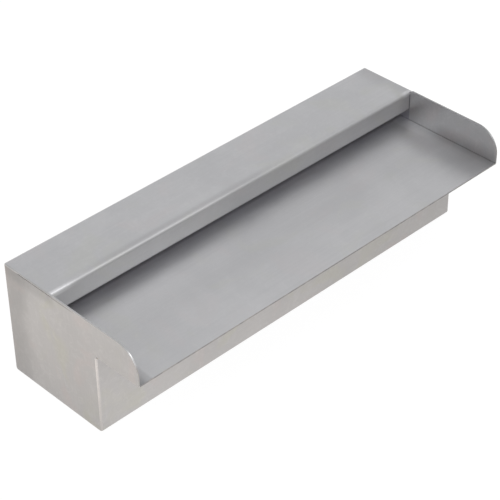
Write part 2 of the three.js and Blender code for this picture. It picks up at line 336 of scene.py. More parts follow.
def cover_polish_and_glint(tree, x, y, z):
    """The two ends of the bend, polished smoother when the welds beside them were dressed, and
    painted brighter there as a painted glint.
    """
    by_left = near(tree, math_node(tree, "ADD", x, END_INSIDE), 5 * MM, 34 * MM)
    by_right = near(tree, math_node(tree, "SUBTRACT", END_INSIDE, x), 5 * MM, 14 * MM)
    by_end = math_node(tree, "MAXIMUM", by_left, by_right)
    at_bend = near(tree, y, FLANGE_FACE + 1.9 * MM, FLANGE_FACE + 4.0 * MM)
    upper = remap(tree, z, HEIGHT - 6 * MM, HEIGHT - 3.6 * MM)
    return math_node(tree, "MULTIPLY", by_end, math_node(tree, "MULTIPLY", at_bend, upper))


def plate_shade(tree, x, y, z, patches):
    """Painted light in front of the flange and painted shade behind it, a darker band beside each
    wing, painted shade at each wing's foot and a painted reflection of the right wing.
    """
    gap = end_gap(tree, x)
    on_top = math_node(tree, "GREATER_THAN", z, PLATE_TOP - SHEET / 2)
    from_flange = math_node(tree, "SUBTRACT", FLANGE_FACE, y)
    # Painted light on the plate in front of the flange, and painted shade in the slot behind it.
    shade = darker(tree, 1.0, -0.32, near(tree, from_flange, 4 * MM, 52 * MM))
    in_slot = math_node(tree, "MULTIPLY", from_flange, -1.0)
    shade = darker(tree, shade, 0.38, remap(tree, in_slot, 7 * MM, 12.5 * MM), on_top)

    # A darker band beside each wing, painted lighter on the right, and painted shade at each wing's
    # foot, deepest on the left.
    out_of_slot = remap(tree, y, FLANGE_FACE - 55 * MM, FLANGE_FACE - 8 * MM, 1.0, 0.25)
    band = near(tree, ragged(tree, gap, patches, 5 * MM), 11.5 * MM, 15 * MM)
    foot = near(tree, gap, 1 * MM, 10 * MM)
    left_foot = near(tree, gap, 2 * MM, 13 * MM)
    to_left = near(tree, x, -0.2, 0.0)
    to_right = remap(tree, x, 0.0, 0.2)
    shade = darker(tree, shade, 0.16, band, out_of_slot, on_top)
    shade = darker(tree, shade, 0.17, foot, out_of_slot, on_top)
    shade = darker(tree, shade, 0.24, left_foot, to_left, on_top)
    shade = darker(tree, shade, -0.16, band, to_right, on_top)

    # A painted reflection of the right wing, darker towards the plate's front right corner.
    to_right_wing = math_node(tree, "SUBTRACT", END_INSIDE, x)
    to_lip = math_node(tree, "SUBTRACT", y, LIP)
    to_corner = put(tree, "CombineXYZ", {0: to_right_wing, 1: to_lip}).outputs[0]
    reach = put(tree, "VectorMath", {0: to_corner}, operation="LENGTH").outputs["Value"]
    corner = ragged(tree, reach, patches, 30 * MM)
    shade = darker(tree, shade, 0.17, near(tree, corner, 12 * MM, 65 * MM), on_top)
    return darker(tree, shade, 0.30, near(tree, gap, 0.3 * MM, 1.1 * MM))


def end_shade(tree, x, y, z, patches):
    """Outside, dull near the welds. Inside, painted shade all over and more near and behind the
    flange, a darker band above the plate and a dark foot.
    """
    gap = math_node(tree, "SUBTRACT", math_node(tree, "ABSOLUTE", x), END_INSIDE + SHEET / 2)
    is_inside = math_node(tree, "LESS_THAN", gap, 0.0)
    is_outside = math_node(tree, "SUBTRACT", 1.0, is_inside)
    from_rear = ragged(tree, math_node(tree, "SUBTRACT", REAR, y), patches, 20 * MM)
    shade = darker(tree, 1.0, 0.17, near(tree, from_rear, 12 * MM, 38 * MM), is_outside)
    # Painted shade: the inner face a little darker all over.
    shade = darker(tree, shade, 0.06, is_inside)

    # A darker band low on the inner face, above the plate.
    above_plate = math_node(tree, "SUBTRACT", z, PLATE_TOP)
    rubbed = near(tree, ragged(tree, above_plate, patches, 5 * MM), 3 * MM, 17 * MM)
    out_of_slot = remap(tree, y, FLANGE_FACE - 60 * MM, FLANGE_FACE - 12 * MM, 1.0, 0.0)
    shade = darker(tree, shade, 0.20, rubbed, out_of_slot, is_inside)
    foot = near(tree, above_plate, 0.3 * MM, 0.9 * MM)
    shade = darker(tree, shade, 0.22, foot, is_inside)
    # Painted shade on the inner face near the flange and behind it, under the cover.
    past_flange = math_node(tree, "SUBTRACT", FLANGE_FACE, y)
    shade = darker(tree, shade, 0.17, near(tree, past_flange, 6 * MM, 30 * MM), is_inside)

    below_top = math_node(tree, "SUBTRACT", HEIGHT, z)
    past_seam = math_node(tree, "SUBTRACT", SEAM_FRONT, y)
    on_wing = math_node(tree, "GREATER_THAN", past_seam, 0.0)
    from_line = math_node(tree, "ABSOLUTE", math_node(tree, "SUBTRACT", below_top, LINE_DEPTH))
    in_line = near(tree, from_line, 0.4 * MM, 1.0 * MM)
    line_end = near(tree, past_seam, 14 * MM, 36 * MM)
    shade = darker(tree, shade, 0.30, in_line, line_end, on_wing, is_outside)
    dressed = near(tree, ragged(tree, below_top, patches, 6 * MM), 5 * MM, 15 * MM)
    beside_seam = near(tree, past_seam, -4 * MM, 6 * MM)
    return darker(tree, shade, 0.14, dressed, beside_seam, is_outside)


def even_shade(tree, x, y, z, patches):
    return 1.0


def grain_scales(grain, along, across):
    """Waves per metre on each axis, for a grain that lies mostly along one of them."""
    return tuple(along if part == max(grain) else across for part in grain)


def no_polish_or_glint(tree, x, y, z):
    return 0.0


def brushed_steel(name, grain, roughness, blotch, shade_of, polish_and_glint_of=no_polish_or_glint):
    """Satin sheet rubbed along its grain, with wipe marks and a faint heat tint in patches."""
    material, tree, shader, coords = new_material(name)
    fine = stretched_noise(tree, coords, grain_scales(grain, *FINE_GRAIN), 2.0, 0.6)
    lines = stretched_noise(tree, coords, grain_scales(grain, *GRAIN_LINES), 2.0)
    patches = stretched_noise(tree, coords, (15, 15, 15), 3.0, 0.55, 0.6)
    wipes = stretched_noise(tree, coords, grain_scales(grain, *WIPE_MARKS), 4.0, 0.6, 1.2)
    mottle = stretched_noise(tree, coords, (130, 130, 130), 3.0, 0.6, 1.5)
    tint = stretched_noise(tree, coords, (23, 23, 23), 2.0, 0.5, 0.8)

    coarse = math_node(tree, "MULTIPLY", lines, 0.45)
    streaks = math_node(tree, "MULTIPLY_ADD", fine, 0.55, coarse)
    streak_part = math_node(tree, "MULTIPLY", streaks, 0.44)
    tone = math_node(tree, "MULTIPLY_ADD", patches, 0.56, streak_part)
    colour = colour_mix(tree, remap(tree, tone, 0.36, 0.64), STEEL_SHADE, STEEL)
    colour = colour_mix(tree, remap(tree, tint, 0.54, 0.70, 0.0, blotch), colour, STRAW_TINT)
    colour = colour_mix(tree, remap(tree, tint, 0.46, 0.32, 0.0, blotch), colour, ROSE_TINT)
    x, y, z = put(tree, "SeparateXYZ", {0: coords}).outputs
    polish_and_glint = polish_and_glint_of(tree, x, y, z)
    # The polished places are also painted up to a third brighter, a painted glint.
    shade = darker(tree, shade_of(tree, x, y, z, patches), -0.34, polish_and_glint)
    smudge = remap(tree, mottle, 0.46, 0.70, 1.0, 1.0 + 0.12 * blotch)
    shade = math_node(tree, "MULTIPLY", smudge, shade)
    tree.links.new(shaded(tree, colour, shade), shader.inputs["Base Color"])

    marks = remap(tree, wipes, 0.42, 0.66, -0.012, 0.02)
    base = math_node(tree, "MULTIPLY_ADD", lines, 0.08, roughness - 0.04)
    rubbed = math_node(tree, "ADD", base, marks)
    blend = {0: polish_and_glint, 2: rubbed, 3: POLISHED_ROUGHNESS}
    tree.links.new(put(tree, "Mix", blend).outputs[0], shader.inputs["Roughness"])

    normal = put(tree, "NewGeometry").outputs["Normal"]
    across = put(tree, "VectorMath", {0: normal, 1: grain}, operation="CROSS_PRODUCT")
    tree.links.new(across.outputs["Vector"], shader.inputs["Tangent"])
    shader.inputs["Anisotropic"].default_value = SHEET_ANISOTROPY
    shader.inputs["Metallic"].default_value = SHEET_METALLIC

    relief = bump(tree, patches, 0.10 * MM)
    relief = bump(tree, lines, 0.010 * MM, relief)
    relief = bump(tree, fine, 0.003 * MM, relief)
    tree.links.new(relief, shader.inputs["Normal"])
    return material


def rim_painted_light(tree, x, y, z, patches):
    """An end plate's rim: a painted highlight on its arc, painted shade where it is straight and low
    on the arc, and more painted shade on the right.
    """
    along_top = remap(tree, y, LIP + 0.42 * WING_RADIUS, LIP + 0.70 * WING_RADIUS)
    foot = near(tree, z, HEIGHT - 0.66 * WING_RADIUS, HEIGHT - 0.42 * WING_RADIUS)
    on_right = math_node(tree, "GREATER_THAN", x, 0.0)
    shade = darker(tree, 1.0, 0.26, along_top)
    shade = darker(tree, shade, 0.32, foot)
    return darker(tree, shade, 0.26, on_right)


def bead_painted_shade(tree, x, y, z, patches):
    """A ground bead, with painted shade near the floor."""
    return darker(tree, 1.0, 0.16, near(tree, z, 4 * MM, 18 * MM))


def worked_metal(name, colours, patch_scale, low_roughness, relief_depth, shade_of=even_shade):
    """Dressed or cut steel with no grain: fine scuffs all ways, and soft patches of two colours."""
    material, tree, shader, coords = new_material(name)
    scuffs = stretched_noise(tree, coords, (900, 900, 900), 3.0, 0.6)
    patches = stretched_noise(tree, coords, (patch_scale,) * 3, 2.0)
    colour = colour_mix(tree, remap(tree, patches, 0.35, 0.65), *colours)
    x, y, z = put(tree, "SeparateXYZ", {0: coords}).outputs
    colour = shaded(tree, colour, shade_of(tree, x, y, z, patches))
    tree.links.new(colour, shader.inputs["Base Color"])
    roughness = math_node(tree, "MULTIPLY_ADD", patches, 0.12, low_roughness)
    tree.links.new(roughness, shader.inputs["Roughness"])
    relief = bump(tree, patches, 4 * relief_depth)
    tree.links.new(bump(tree, scuffs, relief_depth, relief), shader.inputs["Normal"])
    return material


def mill_finish_painted_shade():
    """Cold-rolled sheet as it came from the mill: pale, even and dull, with painted shade in the
    slot's ends.
    """
    material, tree, shader, coords = new_material("mill_finish_painted_shade")
    grains = stretched_noise(tree, coords, (1600, 1600, 1600), 2.0)
    patches = stretched_noise(tree, coords, (30, 30, 30), 3.0)
    colour = colour_mix(tree, remap(tree, patches, 0.3, 0.7), MILL_SHADE, MILL_STEEL)
    x, y, z = put(tree, "SeparateXYZ", {0: coords}).outputs
    # Painted shade in the ends of the slot behind the flange.
    at_end = near(tree, end_gap(tree, x), 0.5 * MM, 5 * MM)
    in_slot = near(tree, math_node(tree, "SUBTRACT", y, FLANGE_FACE), 6 * MM, 28 * MM)
    colour = shaded(tree, colour, darker(tree, 1.0, 0.55, at_end, in_slot))
    tree.links.new(colour, shader.inputs["Base Color"])
    roughness = math_node(tree, "MULTIPLY_ADD", patches, 0.10, 0.45)
    tree.links.new(roughness, shader.inputs["Roughness"])
    shader.inputs["Metallic"].default_value = MILL_METALLIC
    tree.links.new(bump(tree, grains, 0.004 * MM), shader.inputs["Normal"])
    return material


def raw_weld():
    """Weld metal left as it set, with oxide colours in soft bands."""
    material, tree, shader, coords = new_material("raw_weld")
    bands = stretched_noise(tree, coords, (70, 70, 70), 2.0)
    crust = stretched_noise(tree, coords, (1400, 1400, 1400), 3.0, 0.6)
    colour = colour_mix(tree, remap(tree, bands, 0.3, 0.7), WELD_GREY, WELD_STRAW)
    colour = colour_mix(tree, remap(tree, crust, 0.5, 0.75, 0.0, 0.4), colour, WELD_CRUST)
    tree.links.new(colour, shader.inputs["Base Color"])
    roughness = math_node(tree, "MULTIPLY_ADD", crust, 0.25, 0.28)
    tree.links.new(roughness, shader.inputs["Roughness"])
    tree.links.new(bump(tree, crust, 0.010 * MM), shader.inputs["Normal"])
    return material


def turned_steel():
    """Lathe-turned steel: fine rings round the inlet's axis, which are planes of constant y."""
    material, tree, shader, coords = new_material("turned_steel")
    rings = stretched_noise(tree, coords, (30, 5200, 30), 2.0)
    patches = stretched_noise(tree, coords, (80, 80, 80), 2.0)
    colour = colour_mix(tree, remap(tree, patches, 0.3, 0.7), TURNED_SHADE, TURNED_STEEL)
    tree.links.new(colour, shader.inputs["Base Color"])
    roughness = math_node(tree, "MULTIPLY_ADD", rings, 0.14, 0.24)
    tree.links.new(roughness, shader.inputs["Roughness"])
    tree.links.new(bump(tree, rings, 0.004 * MM), shader.inputs["Normal"])
    return material


# ---- Meshes ----


def arc(centre, radius, start, sweep, steps):
    """Points along a round stretch of an outline in Y and Z, both ends included."""
    angles = [start + sweep * i / steps for i in range(steps + 1)]
    return [(centre[0] + radius * math.cos(a), centre[1] + radius * math.sin(a)) for a in angles]


def folded_line(path, inset, bend):
    """The path moved to its left by inset, with a fold of radius bend at each of its corners."""
    corners = [Vector(p) for p in path]
    headings = [(b - a).normalized() for a, b in zip(corners, corners[1:])]
    left = [Vector((-h.y, h.x)) for h in headings]
    points = [tuple(corners[0] + left[0] * inset)]
    for corner, before, after in zip(corners[1:], headings, headings[1:]):
        centre = corner + (after - before) * bend
        start = math.atan2(-after.y, -after.x)
        points += arc(centre, bend - inset, start, QUARTER, BEND_STEPS)
    return [*points, tuple(corners[-1] + left[-1] * inset)]


def prism(outline, low, high):
    """A closed outline in Y and Z made solid from x = low to x = high."""
    bm = bmesh.new()
    ends = [[bm.verts.new((x, y, z)) for y, z in outline] for x in (low, high)]
    bm.faces.new(ends[0])
    bm.faces.new(reversed(ends[1]))
    for i, vertex in enumerate(ends[0]):
        j = (i + 1) % len(outline)
        bm.faces.new((vertex, ends[1][i], ends[1][j], ends[0][j]))
    bmesh.ops.recalc_face_normals(bm, faces=bm.faces)
    return bm


def folded_sheet(path, half_length, bend=BEND_OUTER):
    """A folded sheet along X. The path is its outer line, and the sheet lies on its left."""
    outer = folded_line(path, 0, bend)
    inner = folded_line(path, SHEET, bend)
    bm = bmesh.new()
    sides = []
    for x in (-half_length, half_length):
        sides.append([[bm.verts.new((x, y, z)) for y, z in line] for line in (outer, inner)])
    (near_outer, near_inner), (far_outer, far_inner) = sides
    last = len(outer) - 1
    for i in range(last):
        bm.faces.new((near_outer[i], near_outer[i + 1], far_outer[i + 1], far_outer[i]))
        bm.faces.new((near_inner[i], far_inner[i], far_inner[i + 1], near_inner[i + 1]))
        bm.faces.new((near_outer[i], near_inner[i], near_inner[i + 1], near_outer[i + 1]))
        bm.faces.new((far_outer[i], far_outer[i + 1], far_inner[i + 1], far_inner[i]))
    for i in (0, last):
        bm.faces.new((near_outer[i], far_outer[i], far_inner[i], near_inner[i]))
    bmesh.ops.recalc_face_normals(bm, faces=bm.faces)
    return bm


def mesh_from(bm, name):
    mesh = bpy.data.meshes.new(name)
    bm.to_mesh(mesh)
    bm.free()
    return mesh


def without(bm, cutters):
    """The solid with the cutters' solids taken out of it."""
    holder = bpy.data.objects.new("being_cut", mesh_from(bm, "being_cut"))
    bpy.context.scene.collection.objects.link(holder)
    cutter_objects = []
    for cutter in cutters:
        other = bpy.data.objects.new("cutter", mesh_from(cutter, "cutter"))
        bpy.context.scene.collection.objects.link(other)
        cutter_objects.append(other)
        modifier = holder.modifiers.new("cut", "BOOLEAN")
        modifier.object = other
        modifier.solver = "EXACT"
    graph = bpy.context.evaluated_depsgraph_get()
    result = bmesh.new()
    result.from_object(holder, graph)
    for old in (holder, *cutter_objects):
        bpy.data.objects.remove(old)
    return result


def cylinder(radius, length, centre, axis, steps):
    bm = bmesh.new()
    place = Matrix.Translation(centre) @ AXIS_Z.rotation_difference(axis).to_matrix().to_4x4()
    size = {"radius1": radius, "radius2": radius, "depth": length}
    bmesh.ops.create_cone(bm, cap_ends=True, segments=steps, matrix=place, **size)
    return bm


def cuboid(low, high):
    bm = bmesh.new()
    size = Vector(high) - Vector(low)
    middle = (Vector(high) + Vector(low)) / 2
    place = Matrix.Translation(middle) @ Matrix.Diagonal((*size, 1))
    bmesh.ops.create_cube(bm, size=1, matrix=place)
    return bm


def round_edges(bm, is_free):
    """Rounds the sharp edges for which is_free says yes to their middle point."""
    edges = []
    for edge in bm.edges:
        is_sharp = len(edge.link_faces) == 2 and edge.calc_face_angle(0) > SHARP_FROM
        if is_sharp and is_free((edge.verts[0].co + edge.verts[1].co) / 2):
            edges.append(edge)
    size = {"offset": EDGE_ROUND, "segments": EDGE_STEPS}
    bmesh.ops.bevel(bm, geom=edges, profile=0.5, affect="EDGES", **size)


def cut_into_panels(bm, axes):
    """Cuts the faces along planes across the given axes, so that a flat panel can bow."""
    for axis in axes:
        values = [v.co[axis] for v in bm.verts]
        low, high = min(values), max(values)
        count = max(1, round((high - low) / PANEL_GRID))
        normal = (AXIS_X, AXIS_Y, AXIS_Z)[axis]
        for i in range(1, count):
            point = normal * (low + (high - low) * i / count)
            geometry = [*bm.verts, *bm.edges, *bm.faces]
            bmesh.ops.bisect_plane(bm, geom=geometry, dist=1e-7, plane_co=point, plane_no=normal)


def add_piece(name, mesh, material, node, flats=True, parts=()):
    """Adds a finished mesh in the place of its CAD node.

    Each of parts is another material, with a test of a face's centre and normal that says whether
    it takes that face."""
    mesh.polygons.foreach_set("use_smooth", [True] * len(mesh.polygons))
    mesh.set_sharp_from_angle(angle=SMOOTH_BELOW)
    mesh.materials.append(material)
    for index, (part_material, takes) in enumerate(parts, start=1):
        mesh.materials.append(part_material)
        for face in mesh.polygons:
            if takes(face.center, face.normal):
                face.material_index = index
    piece = bpy.data.objects.new(name, mesh)
    bpy.context.scene.collection.objects.link(piece)
    if flats:
        weighted = piece.modifiers.new("even_flats", "WEIGHTED_NORMAL")
        weighted.keep_sharp = True
        weighted.weight = 100
    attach(piece, "root")
    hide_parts(node)
    return piece


# ---- Sheet pieces ----


def bowed(value, low, high):
    """0 at both ends of a panel and 1 in its middle."""
    share = min(1.0, max(0.0, (value - low) / (high - low)))
    return math.sin(math.pi * share)


def uneven(*place):
    """A smooth random value from about 0 to 1, which differs from place to place."""
    return 0.5 + 0.5 * noise.noise(Vector(place))


def body_channel():
    path = [(FRONT, PLATE_UNDERSIDE), (FRONT, 0), (REAR, 0), (REAR, COVER_UNDERSIDE)]
    bm = folded_sheet(path, END_INSIDE)
    centre = Vector((0, REAR - SHEET / 2, INLET_HEIGHT))
    bm = without(bm, [cylinder(HOLE_RADIUS, 4 * SHEET, centre, AXIS_Y, ROUND_STEPS)])
    cut_into_panels(bm, (0,))
    for vertex in bm.verts:
        x, y, z = vertex.co
        along = bowed(x, -END_INSIDE, END_INSIDE)
        if y < FRONT + BEND_OUTER and z > BEND_OUTER:
            upright = bowed(z, BEND_OUTER, PLATE_UNDERSIDE)
            vertex.co.y += PANEL_BOW * along * upright * uneven(x * 12, z * 9, 3.1)
    return mesh_from(bm, "channel_sheet")


def spill_plate():
    path = [(PLATE_REAR, PLATE_FOLD_FOOT), (PLATE_REAR, PLATE_TOP), (LIP, PLATE_TOP)]
    bm = folded_sheet(path, END_INSIDE)
    round_edges(bm, lambda p: p.y < LIP + SHEET or p.z < PLATE_FOLD_FOOT + SHEET / 2)
    cut_into_panels(bm, (0, 1))
    for vertex in bm.verts:
        x, y, z = vertex.co
        if z > PLATE_UNDERSIDE - EDGE_ROUND:
            along = bowed(x, -END_INSIDE, END_INSIDE)
            across = bowed(y, LIP - 30 * MM, PLATE_REAR - BEND_OUTER)
            vertex.co.z -= PANEL_BOW * along * across * uneven(x * 9, y * 11, 7.7)
    return mesh_from(bm, "spill_sheet")


def top_cover():
    path = [(REAR_INSIDE, HEIGHT), (FLANGE_FACE, HEIGHT), (FLANGE_FACE, FLANGE_BOTTOM)]
    bm = folded_sheet(path, END_INSIDE, COVER_BEND)
    cutters = []
    for side in (-1, 1):
        left, right = sorted((side * (END_INSIDE - FLANGE_CLEARANCE), side * END))
        low = (left, FLANGE_FACE - SHEET, FLANGE_BOTTOM - SHEET)
        high = (right, FLANGE_FACE + COVER_BEND, HEIGHT - COVER_BEND)
        cutters.append(cuboid(low, high))
    bm = without(bm, cutters)
    round_edges(bm, lambda p: p.y < FLANGE_FACE + SHEET * 1.1 and p.z < HEIGHT - COVER_BEND)
    cut_into_panels(bm, (0, 1))
    for vertex in bm.verts:
        x, y, z = vertex.co
        if z > COVER_UNDERSIDE - EDGE_ROUND:
            along = bowed(x, -END_INSIDE, END_INSIDE)
            across = bowed(y, FLANGE_FACE + COVER_BEND, REAR_INSIDE)
            vertex.co.z -= PANEL_BOW * along * across * uneven(x * 8, y * 14, 1.9)
    return mesh_from(bm, "cover_sheet")


def end_plate_outline():
    fold_z = BEND_OUTER
    seam_z = COVER_UNDERSIDE - SEAM_GAP
    wing = (LIP + WING_RADIUS, HEIGHT - WING_RADIUS)
    rear_fold = (REAR_INSIDE - BEND_INNER, fold_z)
    front_fold = (FRONT_INSIDE + BEND_INNER, fold_z)
    return [
        *arc(rear_fold, BEND_INNER, -QUARTER, QUARTER, BEND_STEPS),
        (REAR_INSIDE, COVER_UNDERSIDE),
        (REAR_INSIDE - GROUND_CORNER, COVER_UNDERSIDE),
        (REAR_INSIDE - GROUND_CORNER, seam_z),
        (SEAM_FRONT, seam_z),
        (SEAM_FRONT, HEIGHT),
        *arc(wing, WING_RADIUS, QUARTER, QUARTER, WING_STEPS),
        (LIP, PLATE_TOP),
        (FRONT_INSIDE, PLATE_TOP),
        *arc(front_fold, BEND_INNER, 2 * QUARTER, QUARTER, BEND_STEPS),
    ]


def end_plate(side):
    low, high = (-END, -END_INSIDE) if side < 0 else (END_INSIDE, END)
    bm = prism(end_plate_outline(), low, high)
    round_edges(bm, lambda p: p.y < SEAM_FRONT + EDGE_ROUND and p.z > PLATE_TOP + EDGE_ROUND)
    cut_into_panels(bm, (1, 2))
    for vertex in bm.verts:
        x, y, z = vertex.co
        inside_box = bowed(y, FRONT_INSIDE, REAR_INSIDE) * bowed(z, 0, COVER_UNDERSIDE)
        vertex.co.x -= side * PANEL_BOW * inside_box * uneven(side * 5.3, y * 16, z * 16)
    return mesh_from(bm, "left_end_sheet" if side < 0 else "right_end_sheet")


def flow_diffuser():
    corner = (REAR_INSIDE, DIFFUSER_TOP)
    path = [(REAR_INSIDE, DIFFUSER_FOOT), corner, (DIFFUSER_FRONT, DIFFUSER_TOP)]
    bm = folded_sheet(path, DIFFUSER_END)
    middle_y = (PLATE_REAR + REAR_INSIDE - BEND_OUTER) / 2
    cutters = []
    for i in range(DIFFUSER_HOLES):
        x = (i - (DIFFUSER_HOLES - 1) / 2) * DIFFUSER_PITCH
        centre = Vector((x, middle_y, DIFFUSER_TOP - SHEET / 2))
        cutters.append(cylinder(DIFFUSER_HOLE, 4 * SHEET, centre, AXIS_Z, HOLE_STEPS))
    return mesh_from(without(bm, cutters), "diffuser_sheet")


# ---- Beads ----


def swept(stations, section_at, name, closed=False):
    """A closed section swept along stations of (point, a, b), with its legs along a and b."""
    bm = bmesh.new()
    rings = []
    for i, (point, a, b) in enumerate(stations):
        rings.append([bm.verts.new(point + a * p + b * q) for p, q in section_at(i)])
    pairs = list(zip(rings, rings[1:]))
    if closed:
        pairs.append((rings[-1], rings[0]))
    else:
        bm.faces.new(rings[0])
        bm.faces.new(reversed(rings[-1]))
    for here, there in pairs:
        for i, vertex in enumerate(here):
            j = (i + 1) % len(here)
            bm.faces.new((vertex, there[i], there[j], here[j]))
    bmesh.ops.recalc_face_normals(bm, faces=bm.faces)
    return mesh_from(bm, name)


def stations_between(start, end, a, b, pitch):
    count = max(2, round((end - start).length / pitch))
    return [(start.lerp(end, i / count), a, b) for i in range(count + 1)]


def ground_section(seed, open_until=0):
    """A quarter-round section that a hand grinder has left a little uneven.

    Up to the station open_until, the foot of its first leg is left hollow, as an open seam."""
    def section_at(i):
        points = [(0.0, 0.0)]
        for step in range(BEAD_STEPS + 1):
            angle = QUARTER * step / BEAD_STEPS
            flatness = GROUND_FLAT * math.sin(2 * angle) * uneven(i * 0.31, step * 0.2, seed)
            radius = SHEET * (1 - flatness)
            hollow = SEAM_HOLLOW if i < open_until and step <= SEAM_STEPS else 0.0
            points.append((radius * math.cos(angle) - hollow, radius * math.sin(angle)))
        return points
    return section_at


def fillet_section(leg, seed):
    """A fillet's face with the scalloped ripples of a weld made by hand."""
    def section_at(i):
        phase = i / RIPPLE_STEPS
        drift = noise.noise(Vector((phase * 0.23, seed, 0.5)))
        wave = (phase + 0.25 * drift) % 1.0
        ripple = RIPPLE_HEIGHT * (1 - wave) ** 1.5
        size = leg * (0.93 + 0.05 * noise.noise(Vector((phase * 0.4, seed, 2.5))))
        points = [(0.0, 0.0)]
        for step in range(FILLET_STEPS + 1):
            share = step / FILLET_STEPS
            bulge = math.sin(math.pi * share)
            lift = (ripple - 0.10 * leg) * bulge
            p = size * (1 - share) + lift
            q = size * share + lift
            points.append((max(0.0, p), max(0.0, q)))
        return points
    return section_at


def ground_bead(hand, place, start, end, a, b, seed, finish):
    name = f"bead_{hand}_{place}"
    stations = stations_between(start, end, a, b, GROUND_PITCH)
    mesh = swept(stations, ground_section(seed), name)

    def under_wing(centre, normal):
        return centre.y < 0 and PLATE_UNDERSIDE - 2 * MM < centre.z

    parts = [(materials["end"], under_wing)] if place == "front" else ()
    node = f"weld_{hand}_{place}"
    add_piece(name, mesh, materials[finish], node, flats=False, parts=parts)


def top_bead(hand, start, end, outward, seed):
    """The bead along the top of an end: ground flush at the rear, with an open seam before that."""
    name = f"bead_{hand}_top"
    stations = stations_between(start, end, outward, AXIS_Z, GROUND_PITCH)
    seam_rear = REAR_INSIDE - GROUND_CORNER
    open_until = sum(point.y < seam_rear for point, _, _ in stations)
    mesh = swept(stations, ground_section(seed, open_until), name)

    def in_seam(centre, normal):
        low = centre.z < COVER_UNDERSIDE + 0.7 * MM
        return low and abs(centre.x) < END - 0.3 * MM and centre.y < seam_rear

    parts = [(materials["crevice"], in_seam)]
    node = f"weld_{hand}_top"
    add_piece(name, mesh, materials["flush"], node, flats=False, parts=parts)


def fillet_bead(name, node, start, end, a, b, leg, seed):
    stations = stations_between(start, end, a, b, RIPPLE_PITCH / RIPPLE_STEPS)
    mesh = swept(stations, fillet_section(leg, seed), name)
    add_piece(name, mesh, materials["raw"], node, flats=False)


def base_bead(hand, side, seed):
    """The bead under an end of the box, which turns up round the channel's two folds."""
    outward = AXIS_X * side
    x = side * END_INSIDE
    fold_front, fold_rear = FRONT + BEND_OUTER, REAR - BEND_OUTER

    def round_fold(y, first, last):
        """Stations round the fold centred at y, facing from the first direction to the last."""
        turned = []
        for i in range(BEND_STEPS + 1):
            angle = QUARTER * i / BEND_STEPS
            away = first * math.cos(angle) + last * math.sin(angle)
            turned.append((Vector((x, y, BEND_OUTER)) + away * BEND_INNER, outward, away))
        return turned

    start, end = Vector((x, fold_front, SHEET)), Vector((x, fold_rear, SHEET))
    stations = round_fold(fold_front, -AXIS_Y, -AXIS_Z)
    stations += stations_between(start, end, outward, -AXIS_Z, GROUND_PITCH)[1:-1]
    stations += round_fold(fold_rear, -AXIS_Z, AXIS_Y)
    name = f"bead_{hand}_base"
    mesh = swept(stations, ground_section(seed), name)
    add_piece(name, mesh, materials["ground"], f"weld_{hand}_base", flats=False)


def cover_rear_bead():
    """The bead along the top rear edge, which ends in the box's two rounded top corners."""
    left = Vector((-END_INSIDE, REAR_INSIDE, COVER_UNDERSIDE))
    right = Vector((END_INSIDE, REAR_INSIDE, COVER_UNDERSIDE))
    turns = [QUARTER * (1 - i / BEAD_STEPS) for i in range(BEAD_STEPS)]
    stations = [(left, Vector((-math.sin(t), math.cos(t), 0)), AXIS_Z) for t in turns]
    stations += stations_between(left, right, AXIS_Y, AXIS_Z, GROUND_PITCH)
    stations += [(right, Vector((math.sin(t), math.cos(t), 0)), AXIS_Z) for t in reversed(turns)]
    name = "bead_cover_rear"
    mesh = swept(stations, ground_section(4.4), name)
    add_piece(name, mesh, materials["ground"], "weld_cover_rear", flats=False)


def inlet_ring(name, node, wall_y, outward, seed):
    """The fillet that seals the nipple into the wall, on one side of it."""
    around = 2 * math.pi * HOLE_RADIUS
    count = round(around / RIPPLE_PITCH) * RIPPLE_STEPS
    stations = []
    for i in range(count):
        angle = 2 * math.pi * i / count
        away = Vector((math.cos(angle), 0, math.sin(angle)))
        point = Vector((0, wall_y, INLET_HEIGHT)) + away * HOLE_RADIUS
        stations.append((point, away, AXIS_Y * outward))
    mesh = swept(stations, fillet_section(FILLET_LEG, seed), name, closed=True)
    add_piece(name, mesh, materials["raw"], node, flats=False)


# ---- Inlet nipple ----


def thread_radius(y, angle):
    """The outside radius of the nipple, with its right-hand thread cut in from the mouth."""
    chamfered = max(0.0, y - (NIPPLE_MOUTH - NIPPLE_CHAMFER))
    run_out = (y - (NIPPLE_MOUTH - THREAD_LENGTH)) / THREAD_PITCH
    depth = min(1.0, max(0.0, run_out))
    wave = (y / THREAD_PITCH + angle / (2 * math.pi)) % 1.0
    height = (abs(2 * wave - 1) - THREAD_FLAT) / (1 - 2 * THREAD_FLAT)
    height = min(1.0, max(0.0, height))
    radius = THREAD_CREST - (THREAD_CREST - THREAD_ROOT) * depth * (1 - height)
    return min(THREAD_CREST - chamfered, radius)


